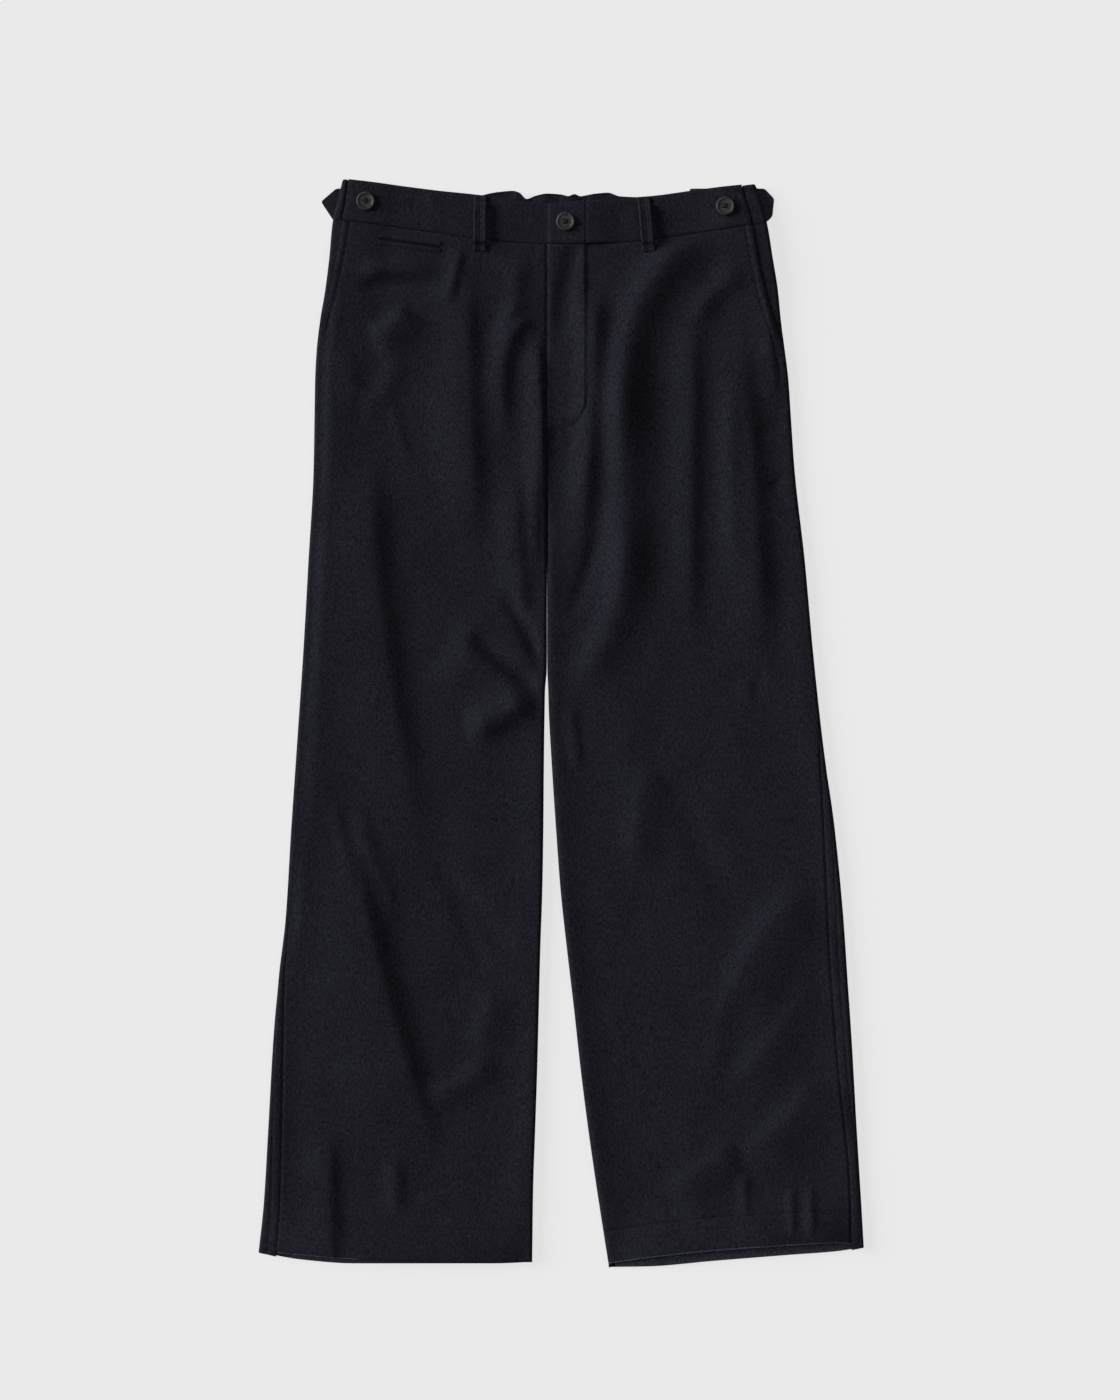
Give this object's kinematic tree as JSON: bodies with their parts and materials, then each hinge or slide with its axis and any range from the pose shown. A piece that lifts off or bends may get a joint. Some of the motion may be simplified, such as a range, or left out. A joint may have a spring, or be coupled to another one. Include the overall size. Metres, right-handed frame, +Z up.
{
  "type": "wide-leg chino trousers laid flat",
  "caption": "Wide-leg flannel chino trousers lying flat on their back, front up, with buttoned waistband, belt loops, waist tabs, slant pockets and open hems.",
  "frame": {"origin": "on the surface the trousers lie on, in the middle of their outline", "axes": "+Y from the hems to the waist, +Z up out of the front, +X towards the wearer's left leg"},
  "size_m": [0.5938, 1.0668, 0.0179],
  "materials": {
    "wool_flannel": "milled dark navy wool flannel, soft nap, matt",
    "horn_button": "dark marbled horn-like, satin"
  },
  "bodies": {
    "root": {"front_right": "wool_flannel", "front_left": "wool_flannel", "back_right": "wool_flannel", "back_left": "wool_flannel", "pocket_bearer_right": "wool_flannel", "pocket_bearer_left": "wool_flannel", "hem_front_right": "wool_flannel", "hem_front_left": "wool_flannel", "hem_back_right": "wool_flannel", "hem_back_left": "wool_flannel", "waistband_front_right": "wool_flannel", "waistband_front_left": "wool_flannel", "waistband_back": "wool_flannel", "fly_placket": "wool_flannel", "coin_pocket_jet_upper": "wool_flannel", "coin_pocket_jet_lower": "wool_flannel", "belt_loop_front_right": "wool_flannel", "belt_loop_front_left": "wool_flannel", "belt_loop_back_right": "wool_flannel", "belt_loop_back_centre": "wool_flannel", "belt_loop_back_left": "wool_flannel", "side_tab_right": "wool_flannel", "side_tab_left": "wool_flannel", "button_waist": "horn_button", "button_side_right": "horn_button", "button_side_left": "horn_button"}
  },
  "joints": []
}
